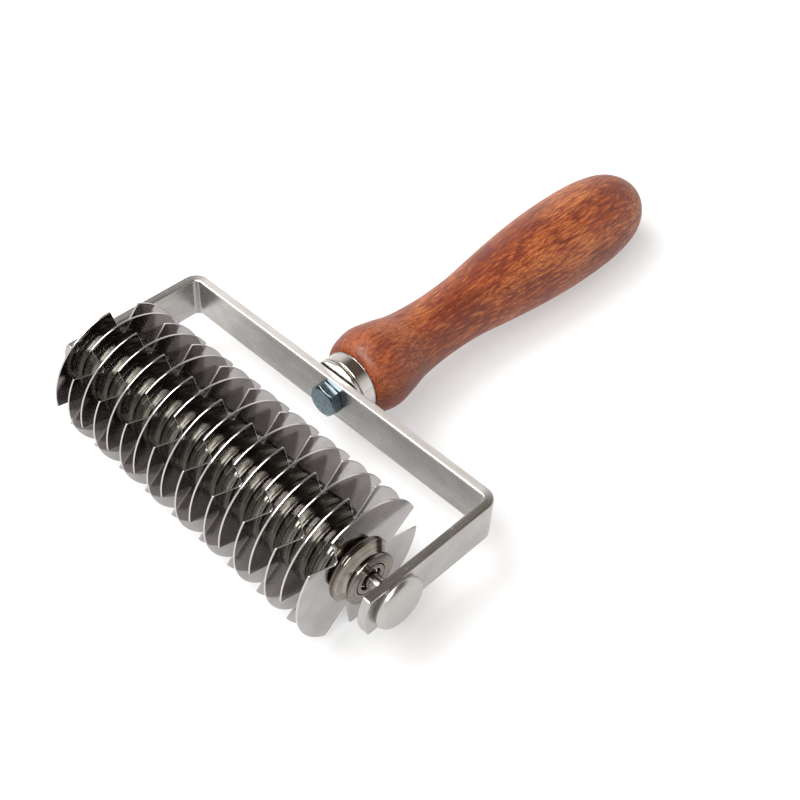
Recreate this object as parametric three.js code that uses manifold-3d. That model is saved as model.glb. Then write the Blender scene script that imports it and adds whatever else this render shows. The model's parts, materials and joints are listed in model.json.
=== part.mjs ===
import * as THREE from 'three';
import { mergeVertices } from 'three/addons/utils/BufferGeometryUtils.js';
import Module from 'manifold-3d';

// Lattice pastry cutter: a turned wooden handle bolted to a U-shaped steel yoke, which carries
// an axle with a free-turning stack of eighteen notched cutting discs.
// Millimetres, +Z up. The axle runs along X and the handle points along +Y, low at its far end,
// as the cutter rests on a table on its discs and on the fat end of its handle.
// The origin is on the table, under the middle of the whole object.

// Cutting discs
const bladeCount = 18;
const bladeRadius = 22.5;
const bladeThickness = 0.6;
const notchCount = 3;
const notchAngle = THREE.MathUtils.degToRad(26.2);
const notchRootRadius = 13.4;
const notchRootWidth = 1.0;
const firstNotch = THREE.MathUtils.degToRad(71.6);
const stagger = THREE.MathUtils.degToRad(58.3);
const stackTwist = THREE.MathUtils.degToRad(5.3);

// Spacers between the discs
const spacerLength = 5.6;
const spacerRadius = 12.1;
const spacerGroove = 0.6;
const pitch = spacerLength + bladeThickness;
const stackHalf = (bladeCount - 1) * pitch / 2 + bladeThickness / 2;

// Axle, bearing bushes, core tube and end hubs
const fit = 0.3;
const axleRadius = 2.5;
const bushInner = axleRadius + fit;
const bushOuter = 3.4;
const bushDepth = 10;
const bushRecess = 0.8;
const coreInner = bushOuter + fit;
const coreOuter = 5;
const bore = coreOuter + fit;
const hubFlangeRadius = 10.4;
const hubFlangeThickness = 0.8;
const hubConeEnd = 7.8;
const hubConeLength = 2.3;
const hubNeckRadius = 6.4;
const hubNeckLength = 0.6;
const hubRimRadius = 8.4;
const hubRimThickness = 0.9;
const hubEnd = stackHalf + hubFlangeThickness + hubConeLength + hubNeckLength + hubRimThickness;
const shoulderRadius = 3.9;
const shoulderLength = 1.4;

// The stack floats endways on the axle, and stands this far towards the -X arm.
const endFloat = 0.8;

// Yoke, bent from flat strip
const stripWidth = 14.3;
const stripThickness = 3;
const yokeHalf = 62.7;
const yokeDepth = 38.8;
const bendInner = 2;
const armEndRadius = 15;
const armEndReach = 11.2;
const boltClearance = 3.3;
const axleHole = axleRadius + fit;

// Heads of the axle: a button on the near end, and the far end riveted over
// Each head's radius at each height above the arm
const buttonOutline = [[0, 0], [7.6, 0], [8.4, 1.2], [8.2, 2.1], [7.4, 2.9], [5, 3.4], [0, 3.6]];
const rivetOutline = [[0, 0], [4.6, 0], [4.6, 0.5], [4, 1.1], [2.6, 1.5], [0, 1.6]];
const buttonHeight = buttonOutline.at(-1)[1];
const rivetHeight = rivetOutline.at(-1)[1];

// Handle bolt, M6
const boltRadius = 3;
const boltAcrossFlats = 10;
const boltHeadHeight = 3.2;
const boltChamfer = 0.7;
const boltTurn = THREE.MathUtils.degToRad(49);
const boltEnd = 62;

// Ferrule
const ferruleStart = yokeDepth + stripThickness + fit;
const ferruleLength = 6;
const ferruleRadius = 10.3;
const ferruleWall = 1.2;
const ferruleShoulder = 0.4;
const ferruleBead = 0.15;
const ferruleEnd = ferruleStart + ferruleLength;

// Handle: radius of the wood at each distance from the axle
const tenonRadius = ferruleRadius - ferruleWall - fit;
const tenonStart = ferruleStart + ferruleWall + fit;
const shoulderStart = ferruleEnd + fit;
const handleOutline = [
  [shoulderStart, 10.3], [49.4, 11.8], [51.9, 13.1], [57.3, 14], [64, 12.9], [72, 11.2], [85, 10.4],
  [99, 10.9], [113, 12.7], [128, 14.4], [142, 15.4], [156, 15.6], [168, 15],
  [178, 13], [184.6, 9.2], [187.8, 4.9], [188.6, 0],
];
const insertRadius = 5;
const insertStart = 46;
const insertEnd = 60;
const pocketRadius = insertRadius + fit;
const pocketEnd = 64;

// How the cutter stands
const handleDrop = THREE.MathUtils.degToRad(2.5);
const axlePlace = new THREE.Vector3((rivetHeight - buttonHeight) / 2, -82.95, bladeRadius);

// Smoothness of the round pieces
const sides = { small: 16, medium: 20, large: 32 };

function material(color, roughness, metalness) {
  return new THREE.MeshStandardMaterial({ color, roughness, metalness });
}

const finishes = {
  wood: material(0xa8582e, 0.35, 0),
  blade: material(0xa8a4a0, 0.2, 1),
  spacer: material(0x6c6c68, 0.15, 1),
  strip: material(0xa39d97, 0.35, 1),
  polished: material(0xb4b0aa, 0.2, 1),
  zinc: material(0x74828a, 0.35, 1),
  brass: material(0xb08d57, 0.35, 1),
};

function named(name, geometry, finish) {
  const mesh = new THREE.Mesh(geometry, finish);
  mesh.name = name;
  return mesh;
}

// A ring or solid turned about Y. The outline lists [radius, along] with the wall on its left.
function turned(outline, count) {
  const points = outline.map(([radius, along]) => new THREE.Vector2(radius, along));
  return new THREE.LatheGeometry(points, count);
}

// The same, turned about X.
function turnedOnAxle(outline, count) {
  return turned(outline, count).rotateZ(-Math.PI / 2);
}

function tubeOutline(inner, outer, start, end) {
  return [[inner, start], [outer, start], [outer, end], [inner, end], [inner, start]];
}

const wasm = await Module();
wasm.setup();

function toSolid(geometry) {
  const bare = geometry.index ? geometry.clone() : geometry;
  bare.deleteAttribute('normal');
  bare.deleteAttribute('uv');
  const merged = mergeVertices(bare, 1e-4);
  return new wasm.Manifold(new wasm.Mesh({
    numProp: 3,
    vertProperties: new Float32Array(merged.attributes.position.array),
    triVerts: new Uint32Array(merged.index.array),
  }));
}

function toGeometry(solid) {
  const mesh = solid.getMesh();
  const geometry = new THREE.BufferGeometry();
  geometry.setAttribute('position', new THREE.BufferAttribute(mesh.vertProperties, 3));
  geometry.setIndex(new THREE.BufferAttribute(mesh.triVerts, 1));
  return geometry;
}

// A disc with three V notches, each blunt at its root, and a bore for the core tube.
function bladeGeometry() {
  const shape = new THREE.Shape();
  const toothAngle = 2 * Math.PI / notchCount - notchAngle;
  for (let notch = 0; notch < notchCount; notch += 1) {
    const middle = 2 * Math.PI * notch / notchCount;
    const toothStart = middle + notchAngle / 2;
    const rootTurn = notchRootWidth / 2 / notchRootRadius;
    const before = [notchRootRadius * Math.cos(middle - rootTurn), notchRootRadius * Math.sin(middle - rootTurn)];
    const after = [notchRootRadius * Math.cos(middle + rootTurn), notchRootRadius * Math.sin(middle + rootTurn)];
    if (notch === 0) shape.moveTo(...before);
    else shape.lineTo(...before);
    shape.lineTo(...after);
    shape.lineTo(bladeRadius * Math.cos(toothStart), bladeRadius * Math.sin(toothStart));
    shape.absarc(0, 0, bladeRadius, toothStart, toothStart + toothAngle, false);
  }
  shape.closePath();
  const hole = new THREE.Path();
  hole.absarc(0, 0, bore, 0, 2 * Math.PI, true);
  shape.holes.push(hole);
  const geometry = new THREE.ExtrudeGeometry(shape, {
    depth: bladeThickness,
    bevelEnabled: false,
    curveSegments: 7,
  });
  // Shape X becomes Y and shape Y becomes Z, so a notch angle is measured from +Y towards +Z.
  return geometry.translate(0, 0, -bladeThickness / 2).rotateX(Math.PI / 2).rotateZ(Math.PI / 2);
}

function bladePiece(index) {
  const name = `blade_${String(index + 1).padStart(2, '0')}`;
  const mesh = named(name, bladeGeometry(), finishes.blade);
  mesh.position.x = (index - (bladeCount - 1) / 2) * pitch;
  mesh.rotation.x = firstNotch + (index % 2) * stagger + stackTwist * (0.5 - index / (bladeCount - 1));
  return mesh;
}

function spacerPiece(index) {
  const end = spacerLength / 2;
  const groove = spacerLength / 6;
  const outline = [
    [bore, -end], [spacerRadius, -end], [spacerRadius, -groove], [spacerRadius - spacerGroove, 0],
    [spacerRadius, groove], [spacerRadius, end], [bore, end], [bore, -end],
  ];
  const name = `spacer_${String(index + 1).padStart(2, '0')}`;
  const mesh = named(name, turnedOnAxle(outline, sides.medium), finishes.spacer);
  mesh.position.x = (index - bladeCount / 2 + 1) * pitch;
  return mesh;
}

// End pieces are made for the +X side, and turned half round about Z for the -X side.
function pair(name, geometry, finish) {
  const near = named(`${name}_near`, geometry, finish);
  const far = named(`${name}_far`, geometry, finish);
  far.rotation.z = Math.PI;
  return [near, far];
}

function hubPieces() {
  const coneStart = stackHalf + hubFlangeThickness;
  const neckStart = coneStart + hubConeLength;
  const neckEnd = neckStart + hubNeckLength;
  const outline = [
    [bore, stackHalf], [hubFlangeRadius, stackHalf], [hubFlangeRadius, coneStart],
    [hubConeEnd, neckStart], [hubNeckRadius, neckStart], [hubNeckRadius, neckEnd], [hubRimRadius, neckEnd],
    [hubRimRadius, hubEnd], [bore, hubEnd], [bore, stackHalf],
  ];
  return pair('hub', turnedOnAxle(outline, sides.medium), finishes.polished);
}

function bushPieces() {
  const outline = tubeOutline(bushInner, bushOuter, hubEnd - bushDepth, hubEnd - bushRecess);
  return pair('bush', turnedOnAxle(outline, sides.small), finishes.polished);
}

function corePiece() {
  return named('core_tube', turnedOnAxle(tubeOutline(coreInner, coreOuter, -hubEnd, hubEnd), sides.medium),
    finishes.spacer);
}

// A rod with a shoulder beside each arm.
function axlePiece() {
  const end = yokeHalf + stripThickness;
  const outer = yokeHalf - fit;
  const inner = outer - shoulderLength;
  const outline = [
    [0, -end], [axleRadius, -end], [axleRadius, -outer], [shoulderRadius, -outer], [shoulderRadius, -inner],
    [axleRadius, -inner], [axleRadius, inner], [shoulderRadius, inner], [shoulderRadius, outer],
    [axleRadius, outer], [axleRadius, end], [0, end],
  ];
  return named('axle', turnedOnAxle(outline, sides.small), finishes.polished);
}

function headPiece(name, shape) {
  const arm = yokeHalf + stripThickness;
  const outline = shape.map(([radius, height]) => [radius, arm + height]);
  return named(name, turnedOnAxle(outline, sides.medium), finishes.polished);
}

function headPieces() {
  const near = headPiece('axle_head_near', buttonOutline);
  const far = headPiece('axle_head_far', rivetOutline);
  far.rotation.z = Math.PI;
  return [near, far];
}

// The strip bent to a U, cut to a shallow arc at its two ends and drilled for axle and bolt.
function yokePiece() {
  const outerHalf = yokeHalf + stripThickness;
  const outerDepth = yokeDepth + stripThickness;
  const bendOuter = bendInner + stripThickness;
  const strip = new THREE.Shape();
  strip.moveTo(yokeHalf, -armEndReach - 1);
  strip.lineTo(outerHalf, -armEndReach - 1);
  strip.absarc(outerHalf - bendOuter, outerDepth - bendOuter, bendOuter, 0, Math.PI / 2, false);
  strip.absarc(bendOuter - outerHalf, outerDepth - bendOuter, bendOuter, Math.PI / 2, Math.PI, false);
  strip.lineTo(-outerHalf, -armEndReach - 1);
  strip.lineTo(-yokeHalf, -armEndReach - 1);
  strip.absarc(bendInner - yokeHalf, yokeDepth - bendInner, bendInner, Math.PI, Math.PI / 2, true);
  strip.absarc(yokeHalf - bendInner, yokeDepth - bendInner, bendInner, Math.PI / 2, 0, true);
  strip.closePath();
  const bent = new THREE.ExtrudeGeometry(strip, {
    depth: stripWidth, bevelEnabled: false, curveSegments: 4,
  }).translate(0, 0, -stripWidth / 2);

  const endTurn = Math.asin((stripWidth / 2 + 1) / armEndRadius);
  const side = new THREE.Shape();
  const arcCentre = armEndRadius - armEndReach;
  side.moveTo(outerDepth + 1, -stripWidth / 2 - 1);
  side.lineTo(outerDepth + 1, stripWidth / 2 + 1);
  side.absarc(arcCentre, 0, armEndRadius, Math.PI - endTurn, Math.PI + endTurn, false);
  side.closePath();
  const outline = new THREE.ExtrudeGeometry(side, {
    depth: 2 * outerHalf + 2, bevelEnabled: false, curveSegments: 8,
  }).translate(0, 0, -outerHalf - 1).rotateX(Math.PI / 2).rotateZ(Math.PI / 2);

  const axleDrill = turnedOnAxle([[0, -outerHalf - 1], [axleHole, -outerHalf - 1],
    [axleHole, outerHalf + 1], [0, outerHalf + 1]], sides.medium);
  const boltDrill = turned([[0, yokeDepth - 1], [boltClearance, yokeDepth - 1],
    [boltClearance, outerDepth + 1], [0, outerDepth + 1]], sides.medium);
  const solid = toSolid(bent).intersect(toSolid(outline))
    .subtract(toSolid(axleDrill)).subtract(toSolid(boltDrill));
  return named('yoke', toGeometry(solid), finishes.strip);
}

// A hexagon with its front corners turned off, and a plain shank.
function boltPiece() {
  const seat = yokeDepth - fit;
  const front = seat - boltHeadHeight;
  const corner = boltAcrossFlats / 2 / Math.cos(Math.PI / 6);
  const hexagon = new THREE.Shape();
  for (let side = 0; side < 6; side += 1) {
    const angle = boltTurn + side * Math.PI / 3;
    const point = [corner * Math.cos(angle), -corner * Math.sin(angle)];
    if (side === 0) hexagon.moveTo(...point);
    else hexagon.lineTo(...point);
  }
  hexagon.closePath();
  const prism = new THREE.ExtrudeGeometry(hexagon, { depth: boltHeadHeight, bevelEnabled: false })
    .rotateX(-Math.PI / 2).translate(0, front, 0);
  const faceRadius = boltAcrossFlats / 2 * 0.94;
  const crown = turned([[0, front], [faceRadius, front], [corner + 0.2, front + boltChamfer],
    [corner + 0.2, seat], [0, seat]], sides.large);
  const shank = turned([[0, seat - 1], [boltRadius, seat - 1], [boltRadius, boltEnd], [0, boltEnd]],
    sides.medium);
  const solid = toSolid(prism).intersect(toSolid(crown)).add(toSolid(shank));
  return named('handle_bolt', toGeometry(solid), finishes.zinc);
}

// A shallow cup with a rounded front shoulder and a small bead round its mouth.
function ferrulePiece() {
  const outline = [[boltClearance, ferruleStart]];
  const shoulderSteps = 4;
  for (let step = 0; step <= shoulderSteps; step += 1) {
    const angle = Math.PI / 2 * step / shoulderSteps;
    outline.push([
      ferruleRadius - ferruleShoulder * (1 - Math.sin(angle)),
      ferruleStart + ferruleShoulder * (1 - Math.cos(angle)),
    ]);
  }
  const inside = ferruleRadius - ferruleWall;
  outline.push(
    [ferruleRadius, ferruleEnd - 2 * ferruleBead],
    [ferruleRadius + ferruleBead, ferruleEnd - ferruleBead],
    [ferruleRadius + ferruleBead, ferruleEnd],
    [inside, ferruleEnd],
    [inside, ferruleStart + ferruleWall],
    [boltClearance, ferruleStart + ferruleWall],
    [boltClearance, ferruleStart],
  );
  return named('ferrule', turned(outline, sides.large), finishes.polished);
}

function insertPiece() {
  return named('handle_insert', turned(tubeOutline(boltClearance, insertRadius, insertStart, insertEnd),
    sides.medium), finishes.brass);
}

// The wood: a tenon for the ferrule, a bulb, a waist and a fat rounded end, bored for the insert.
function handlePiece() {
  const curve = new THREE.CatmullRomCurve3(
    handleOutline.map(([along, radius]) => new THREE.Vector3(radius, along, 0)),
    false, 'centripetal',
  );
  const wood = curve.getPoints(30).map((point) => [Math.max(point.x, 0), point.y]);
  wood[wood.length - 1][0] = 0;
  const outline = [
    [0, pocketEnd], [pocketRadius, pocketEnd], [pocketRadius, tenonStart],
    [tenonRadius, tenonStart], [tenonRadius, shoulderStart], ...wood,
  ];
  return named('handle', turned(outline, sides.large), finishes.wood);
}

const frame = new THREE.Group();
frame.rotation.x = -handleDrop;
frame.add(yokePiece(), boltPiece(), ferrulePiece(), insertPiece(), handlePiece());

const roller = new THREE.Group();
roller.position.x = -endFloat;
roller.add(corePiece(), ...hubPieces(), ...bushPieces());
for (let index = 0; index < bladeCount; index += 1) roller.add(bladePiece(index));
for (let index = 0; index < bladeCount - 1; index += 1) roller.add(spacerPiece(index));

const cutter = new THREE.Group();
cutter.position.copy(axlePlace);
cutter.add(frame, axlePiece(), ...headPieces(), roller);

export default cutter;
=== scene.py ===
import json
import math

import bmesh
import bpy
from mathutils import Matrix, Vector, geometry


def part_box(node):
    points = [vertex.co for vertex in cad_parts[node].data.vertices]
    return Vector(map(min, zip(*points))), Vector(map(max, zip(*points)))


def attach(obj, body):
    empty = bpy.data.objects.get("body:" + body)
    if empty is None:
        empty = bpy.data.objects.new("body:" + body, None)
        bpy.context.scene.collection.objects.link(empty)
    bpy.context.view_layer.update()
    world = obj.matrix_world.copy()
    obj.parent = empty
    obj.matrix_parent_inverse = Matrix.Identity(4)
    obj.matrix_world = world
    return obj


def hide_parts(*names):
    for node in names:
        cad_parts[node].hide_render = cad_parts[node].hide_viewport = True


# A lattice pastry cutter, built round its packed frame: a turned wooden handle, a yoke bent from steel
# strip, and an axle with a free-turning stack of notched discs and turned spacers.
# Metres, +Z up. The axle runs along X. The yoke's own coordinates have their origin on the axle,
# with Y along the handle, and are tipped so that the fat end of the handle rests on the table.

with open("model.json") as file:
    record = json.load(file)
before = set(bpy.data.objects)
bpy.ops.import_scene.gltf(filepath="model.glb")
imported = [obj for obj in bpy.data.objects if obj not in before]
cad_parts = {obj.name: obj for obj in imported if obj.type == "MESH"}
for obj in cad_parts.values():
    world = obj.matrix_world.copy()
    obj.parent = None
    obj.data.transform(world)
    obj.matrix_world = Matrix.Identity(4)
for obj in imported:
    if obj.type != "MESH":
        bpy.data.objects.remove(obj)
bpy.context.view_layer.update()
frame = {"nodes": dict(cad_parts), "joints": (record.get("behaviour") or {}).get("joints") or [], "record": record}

bl_info = {
    "name": "Lattice Pastry Cutter",
    "version": (1, 0, 0),
    "blender": (4, 5, 0),
    "location": "View3D > Sidebar > Pastry Cutter",
    "description": "Builds the pieces of a lattice pastry cutter and the stage it stands on",
    "category": "Object",
}

AXLE = Vector(frame["joints"][0]["pos_m"])
EDGE_UP = Vector(frame["record"]["mounts"][0]["axis"])
HANDLE_DROP = math.atan2(EDGE_UP.y, EDGE_UP.z)
ROLLER_PLACE = Matrix.Translation(AXLE)
YOKE_PLACE = ROLLER_PLACE @ Matrix.Rotation(-HANDLE_DROP, 4, "X")
DISC_COUNT = sum(name.startswith("blade_") for name in frame["nodes"])
ALONG_AXLE = Vector((1, 0, 0))
ALONG_HANDLE = Vector((0, 1, 0))
ENDS = (("near", 1), ("far", -1))
FULL_TURN = 2 * math.pi
WELD = 1e-6
EDGE_BREAK = 0.00015
BLUNT = math.radians(50)
TURNING_PER_RADIAN = 0.01
SHEET_STEP = 0.37
LIGHT_DISTANCE = 1.0


# -------- Sizes and colours --------

def a_size(name, default, description):
    """A setting in metres."""
    return bpy.props.FloatProperty(name=name, description=description, default=default, unit="LENGTH")


def an_angle(name, degrees, description):
    """A setting that is given here in degrees."""
    return bpy.props.FloatProperty(
        name=name, description=description, default=math.radians(degrees), subtype="ANGLE")


def a_colour(name, default, description):
    """A setting of red, green and blue."""
    return bpy.props.FloatVectorProperty(
        name=name, description=description, default=default, subtype="COLOR", size=3)


class CutterRollerSizes(bpy.types.PropertyGroup):
    """The stack that turns on the axle."""

    disc_radius: a_size("Disc radius", 0.0225, "From the axle to the cutting edge")
    notch_root: a_size("Notch root", 0.0134, "From the axle to the bottom of a notch")
    notch_root_width: a_size("Root width", 0.001, "Width of the blunt bottom of a notch")
    notch_angle: an_angle("Notch angle", 26.2, "How much of the edge one notch takes away")
    first_notch: an_angle("First notch", 71.6, "Turn of the middle of the stack about the axle")
    stagger: an_angle("Stagger", 58.3, "Turn of every second disc against its neighbours")
    stack_twist: an_angle("Stack twist", 5.3, "Slow turn of the discs from one end to the other")
    disc_edge: a_size("Disc edge", 0.0001, "Width of the worn edge of a disc")
    bore: a_size("Bore", 0.0053, "Radius of the hole through discs, spacers and hubs")
    spacer_groove: a_size("Spacer groove", 0.0005, "Depth of the hollow round a spacer")
    spacer_groove_width: a_size("Groove width", 0.0007, "Half width of the hollow round a spacer")
    neck_radius: a_size("Hub neck", 0.0064, "Radius between the two flanges of a hub")
    rim_radius: a_size("Hub rim", 0.0084, "Radius of a hub's outer flange")
    flange_thickness: a_size("Flange thickness", 0.0008, "Thickness of a hub's inner flange")
    cone_end: a_size("Cone end", 0.0078, "Radius where a hub's inner flange has tapered off")
    cone_length: a_size("Cone length", 0.0023, "Length of the taper behind a hub's inner flange")
    rim_thickness: a_size("Rim thickness", 0.0009, "Thickness of a hub's outer flange")
    bush_radius: a_size("Bush radius", 0.0034, "Outside of a bush where it sits in the core tube")
    tool_pitch: a_size("Tool pitch", 0.00034, "Distance between the lathe tool's grooves on a face")
    tool_depth: a_size("Tool depth", 0.00003, "Depth of the lathe tool's grooves")


class CutterYokeSizes(bpy.types.PropertyGroup):
    """The bent strip, its axle and its bolt."""

    strip_thickness: a_size("Strip thickness", 0.003, "Thickness of the yoke's strip")
    strip_width: a_size("Strip width", 0.0143, "Width of the yoke's strip")
    depth: a_size("Yoke depth", 0.0388, "From the axle to the inside of the crossbar")
    bend_radius: a_size("Bend radius", 0.002, "Inside radius of the yoke's two bends")
    end_radius: a_size("Arm end radius", 0.015, "Radius of the arc at an arm's end")
    end_reach: a_size("Arm end reach", 0.0112, "From the axle to the end of an arm")
    edge_round: a_size("Edge rounding", 0.0011, "Radius along the strip's edges")
    axle_hole: a_size("Axle hole", 0.0028, "Radius of the hole in an arm")
    bolt_hole: a_size("Bolt hole", 0.0033, "Radius of the hole in the crossbar")
    across_flats: a_size("Across flats", 0.01, "Width of the bolt's head")
    bolt_radius: a_size("Bolt radius", 0.003, "Radius of the bolt's shank")
    head_height: a_size("Bolt head height", 0.0032, "Height of the bolt's head")
    bolt_turn: an_angle("Bolt turn", 49, "How far the bolt's head is screwed round")
    button_back: a_size("Button back", 0.0076, "Radius of the button head where it meets the arm")
    button_rim: a_size("Button rim", 0.0012, "Height of the button head's widest line")
    button_round: a_size("Button rounding", 0.0022, "Rounding of the button head's edge")
    rivet_rim: a_size("Rivet rim", 0.0005, "Height of the riveted far end's widest line")
    rivet_round: a_size("Rivet rounding", 0.0008, "Rounding of the riveted far end's edge")
    axle_radius: a_size("Axle radius", 0.0025, "Radius of the axle in its bushes")
    shoulder_length: a_size("Shoulder length", 0.0014, "Length of the axle's shoulder beside an arm")


class CutterHandleSizes(bpy.types.PropertyGroup):
    """The ferrule and the turned handle."""

    ferrule_radius: a_size("Ferrule radius", 0.0103, "Outside of the ferrule")
    ferrule_wall: a_size("Ferrule wall", 0.0012, "Thickness of the ferrule")
    ferrule_shoulder: a_size("Ferrule shoulder", 0.0003, "Rounding of the ferrule's edges")
    ferrule_lip: a_size("Ferrule lip", 0.0009, "Thickness of the lip against the crossbar")
    ferrule_groove: a_size("Ferrule groove", 0.0005, "Depth and width of the groove behind the lip")
    ferrule_bead: a_size("Ferrule bead", 0.00015, "Height of the bead round the ferrule's mouth")
    fit: a_size("Fit", 0.0003, "Gap between pieces that fit in each other")
    waist: a_size("Waist", 0.0104, "Radius of the handle's narrowest place")
    bulb: a_size("Bulb", 0.014, "Radius of the swelling behind the ferrule")
    palm: a_size("Palm", 0.0156, "Radius of the handle's fat end")
    insert_radius: a_size("Insert radius", 0.005, "Outside of the threaded insert's ridges")
    insert_ridge: a_size("Insert ridges", 0.0005, "Height of the ridges round the insert")
    pocket_end: a_size("Pocket end", 0.064, "From the axle to the bottom of the insert's pocket")


class CutterColours(bpy.types.PropertyGroup):
    """The finishes."""

    steel: a_colour("Disc steel", (0.42, 0.40, 0.395), "Bright rolled sheet of the discs")
    # Painted shade: the spacers' steel is given a very dark colour that stands in for the shade and dark
    # reflections deep in the gaps between the discs.
    dark_steel: a_colour("Spacer steel", (0.17, 0.168, 0.145), "Dark polished spacers")
    hub_steel: a_colour("Hub steel", (0.25, 0.225, 0.195), "Turned end hubs")
    strip_steel: a_colour("Strip steel", (0.43, 0.415, 0.40), "Brushed strip of the yoke")
    polished_steel: a_colour("Polished steel", (0.50, 0.48, 0.45), "Ferrule, axle and bushes")
    zinc: a_colour("Zinc", (0.25, 0.33, 0.375), "Blue-white plating of the bolt")
    brass: a_colour("Brass", (0.72, 0.50, 0.22), "Threaded insert in the handle")
    wood_light: a_colour("Light wood", (0.46, 0.165, 0.05), "Golden streaks of the handle")
    wood_middle: a_colour("Wood", (0.245, 0.050, 0.014), "Orange-red body of the handle")
    wood_dark: a_colour("Dark wood", (0.11, 0.020, 0.010), "Red-brown figure of the handle")
    floor: a_colour("Floor", (0.45, 0.45, 0.45), "Pale table and backdrop")


class CutterStageSizes(bpy.types.PropertyGroup):
    """Camera and lights."""

    camera_azimuth: an_angle("Camera azimuth", 43.245, "Camera's direction, from -Y towards +X")
    camera_elevation: an_angle("Camera elevation", 47.73, "Camera's height angle")
    camera_roll: an_angle("Camera roll", 1.54, "Turn of the picture about the line of sight")
    camera_distance: a_size("Camera distance", 0.37919, "From the camera to what it looks at")
    camera_target: bpy.props.FloatVectorProperty(
        name="Camera target", description="Point that the camera looks at",
        default=(0.016, -0.03125, 0.0225), subtype="TRANSLATION", size=3)
    camera_lens: bpy.props.FloatProperty(
        name="Lens", description="Focal length in millimetres on a 36 mm sensor", default=56.58)
    floor_radius: a_size("Floor radius", 4.0, "Size of the pale floor")
    sky: bpy.props.FloatProperty(
        name="Surroundings", description="Strength of the light from all round", default=0.8)
    key: bpy.props.FloatProperty(
        name="Key light", description="Power of the soft light above and left of the camera, in watts",
        default=14.0)
    left: bpy.props.FloatProperty(
        name="Left light", description="Power of the soft light high on the left, in watts", default=5.5)


# -------- Mesh work --------

def corner(node, axis, high):
    """Where a packed node's box ends along an axis, measured from the axle."""
    low_corner, high_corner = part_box(node)
    return ((high_corner if high else low_corner) - AXLE)["XYZ".index(axis)]


def length_of(node):
    """How long a packed node is along the axle."""
    return corner(node, "X", True) - corner(node, "X", False)


def middle(node):
    """Where a packed node's middle lies along the axle."""
    return (corner(node, "X", False) + corner(node, "X", True)) / 2


def along_handle(node, high):
    """How far from the axle a node of the handle's group starts or ends, along the handle."""
    points = [YOKE_PLACE.inverted() @ vertex.co for vertex in frame["nodes"][node].data.vertices]
    return (max if high else min)(point.y for point in points)


def centred_place(node):
    """The place of a piece that is made round the middle of a node on the axle."""
    return ROLLER_PLACE @ Matrix.Translation(ALONG_AXLE * middle(node))


def outward_place(node, outward):
    """The place of a piece that is made from its inner end outwards, at either end of the axle."""
    place = ROLLER_PLACE @ Matrix.Translation(ALONG_AXLE * corner(node, "X", outward < 0))
    return place @ Matrix.Rotation(0 if outward > 0 else math.pi, 4, "Z")


def spoke_of(axis):
    """The direction in which a profile's radii are measured."""
    return ALONG_HANDLE if axis is ALONG_AXLE else ALONG_AXLE


def everything(bm):
    return bm.verts[:] + bm.edges[:] + bm.faces[:]


def vertices_in(items):
    return [item for item in items if isinstance(item, bmesh.types.BMVert)]


def arc_points(centre, radius, start, end, steps):
    """Points of an arc in a profile, with its angles measured from the profile's first direction."""
    angles = [start + (end - start) * step / steps for step in range(steps + 1)]
    return [(centre[0] + radius * math.cos(angle), centre[1] + radius * math.sin(angle)) for angle in angles]


def turned_face(along, outer, inner, sizes, fall=0.0):
    """Profile points across a face from one radius in to another, with the lathe tool's grooves.

    The face may fall away along the axis on the way.
    """
    rows = 2 * max(1, round((outer - inner) / sizes.tool_pitch))
    return [(along + fall * row / rows - (row % 2) * sizes.tool_depth, outer + (inner - outer) * row / rows)
            for row in range(rows + 1)]


def smooth_through(points, steps):
    """A smooth curve through points, as a list of more points."""
    before = 2 * points[0] - points[1]
    after = 2 * points[-1] - points[-2]
    guides = [before, *points, after]
    curve = [points[0]]
    for index in range(1, len(guides) - 2):
        start, end = guides[index], guides[index + 1]
        leave = start + (end - guides[index - 1]) / 6
        arrive = end - (guides[index + 2] - start) / 6
        curve += geometry.interpolate_bezier(start, leave, arrive, end, steps)[1:]
    return curve


def sealed(bm):
    """Welds doubles and turns every face outwards."""
    bmesh.ops.remove_doubles(bm, verts=bm.verts, dist=WELD)
    bmesh.ops.recalc_face_normals(bm, faces=bm.faces)
    return bm


def spun(profile, axis, steps=96, closed=True):
    """A profile of distances along the axis and radii, spun a full turn about the axis."""
    spoke = spoke_of(axis)
    bm = bmesh.new()
    vertices = [bm.verts.new(axis * along + spoke * radius) for along, radius in profile]
    chain(bm, *vertices)
    if closed:
        bm.edges.new((vertices[-1], vertices[0]))
    bmesh.ops.spin(bm, geom=bm.verts[:] + bm.edges[:], cent=(0, 0, 0), axis=axis, dvec=(0, 0, 0),
                   angle=FULL_TURN, steps=steps, use_merge=True)
    return sealed(bm)


def soften(bm, rounding, segments=3, sharper_than=math.radians(40)):
    """Rounds the sharp edges."""
    edges = [edge for edge in bm.edges if edge.is_manifold and edge.calc_face_angle() > sharper_than]
    bmesh.ops.bevel(bm, geom=edges, offset=rounding, offset_type="OFFSET", segments=segments, profile=0.5,
                    affect="EDGES", clamp_overlap=True, material=-1)
    return bm


def chain(bm, *vertices):
    """Edges from each vertex to the next."""
    for first, second in zip(vertices, vertices[1:]):
        bm.edges.new((first, second))


def arc_of_edges(bm, point, centre, axis, turn, steps):
    """An arc of edges from a point, about an axis. Returns its first and last vertex."""
    first = bm.verts.new(point)
    made = bmesh.ops.spin(bm, geom=[first], cent=centre, axis=axis, dvec=(0, 0, 0), angle=turn, steps=steps)
    return first, vertices_in(made["geom_last"])[0]


def thickened(bm, direction):
    """Gives a flat sheet its thickness."""
    made = bmesh.ops.extrude_face_region(bm, geom=bm.faces[:])
    bmesh.ops.translate(bm, vec=direction, verts=vertices_in(made["geom"]))
    return sealed(bm)


def mirrored(bm, axis):
    """Adds the mirror image across the middle and welds the two."""
    bmesh.ops.mirror(bm, geom=everything(bm), matrix=Matrix.Identity(4), merge_dist=WELD, axis=axis)
    return bm


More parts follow.
